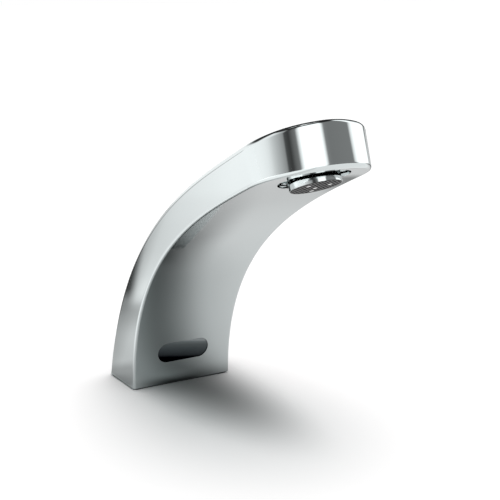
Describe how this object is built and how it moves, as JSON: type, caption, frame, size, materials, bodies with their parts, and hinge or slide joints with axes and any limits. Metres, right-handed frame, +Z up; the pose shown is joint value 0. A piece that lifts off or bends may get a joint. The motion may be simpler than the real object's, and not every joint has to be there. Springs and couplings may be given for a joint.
{
  "type": "sensor tap",
  "caption": "Touch-free deck tap: a slab-shaped arched spout with a sensor window at its foot, a slanted aerator under its rounded nose and a latching valve inside.",
  "frame": {"origin": "on the deck surface under the middle of the foot, which is the underside of the foot gasket", "axes": "+Z up, the spout reaches towards -Y, +X across the spout; the foot's back faces +Y"},
  "size_m": [0.056, 0.1681, 0.1501],
  "materials": {
    "polished_chrome": "bright polished chrome plating",
    "black_rubber": "matt black rubber",
    "plain_brass": "machined brass",
    "stainless_steel": "plain stainless steel",
    "bare_iron": "bare soft magnetic iron",
    "coil_copper": "enamelled copper wire",
    "black_plastic": "fine matt moulded plastic",
    "white_plastic": "smooth natural plastic",
    "blue_plastic": "smooth coloured plastic",
    "clear_plastic": "clear epoxy",
    "smoked_window": "glossy dark infrared filter",
    "circuit_green": "lacquered circuit board",
    "lead_sleeve": "soft cable sleeve",
    "grid_grey": "wet-look grey plastic grid"
  },
  "bodies": {
    "tap": {"spout_body": "polished_chrome", "foot_gasket": "black_rubber", "base_plate": "plain_brass", "base_screws": "stainless_steel", "inlet_fitting": "plain_brass", "inlet_filter": "stainless_steel", "inlet_pipe": "plain_brass", "power_socket": "black_plastic", "socket_pins": "plain_brass", "valve_body": "plain_brass", "valve_seat": "white_plastic", "core_tube": "stainless_steel", "core_seal": "black_rubber", "coil_bobbin": "black_plastic", "coil_winding": "coil_copper", "latch_magnet": "bare_iron", "coil_yoke": "bare_iron", "yoke_screws": "stainless_steel", "pole_piece": "bare_iron", "plunger_spring": "stainless_steel", "valve_pad": "black_rubber", "spout_hose": "white_plastic", "hose_seal": "black_rubber", "sensor_lens": "smoked_window", "lens_gasket": "black_rubber", "sensor_housing": "black_plastic", "sensor_screws": "stainless_steel", "sensor_board": "circuit_green", "controller_chip": "black_plastic", "ir_emitter": "clear_plastic", "ir_receiver": "black_plastic", "light_baffle": "black_plastic", "housing_cover": "black_plastic", "sensor_lead": "lead_sleeve", "coil_lead": "lead_sleeve"},
    "plunger": {"valve_plunger": "stainless_steel", "plunger_seal": "black_rubber"},
    "aerator_carrier": {"aerator_seal": "black_rubber"},
    "aerator": {"aerator_shell": "polished_chrome", "flow_regulator": "blue_plastic", "jet_plate": "white_plastic", "mixing_screen": "stainless_steel", "outlet_grid": "grid_grey"}
  },
  "joints": [
    {"name": "valve_stroke", "type": "slide", "parent": "tap", "child": "plunger", "axis": [1, 0, 0], "range_m": [0, 0.0012], "stiffness_N_per_m": 400, "springref_m": -0.002, "deforming": ["plunger_spring"]},
    {"name": "aerator_travel", "type": "slide", "parent": "tap", "child": "aerator_carrier", "axis": [0, -0.3971, -0.9178], "range_m": [0, 0.004]},
    {"name": "aerator_turn", "type": "hinge", "parent": "aerator_carrier", "child": "aerator", "pos_m": [0, -0.135, 0.12476], "axis": [0, -0.3971, -0.9178], "range_deg": [0, 1440]}
  ],
  "couplings": [
    {"joint": "aerator_turn", "follows": "aerator_travel", "rad_per_m": 6283.2}
  ]
}
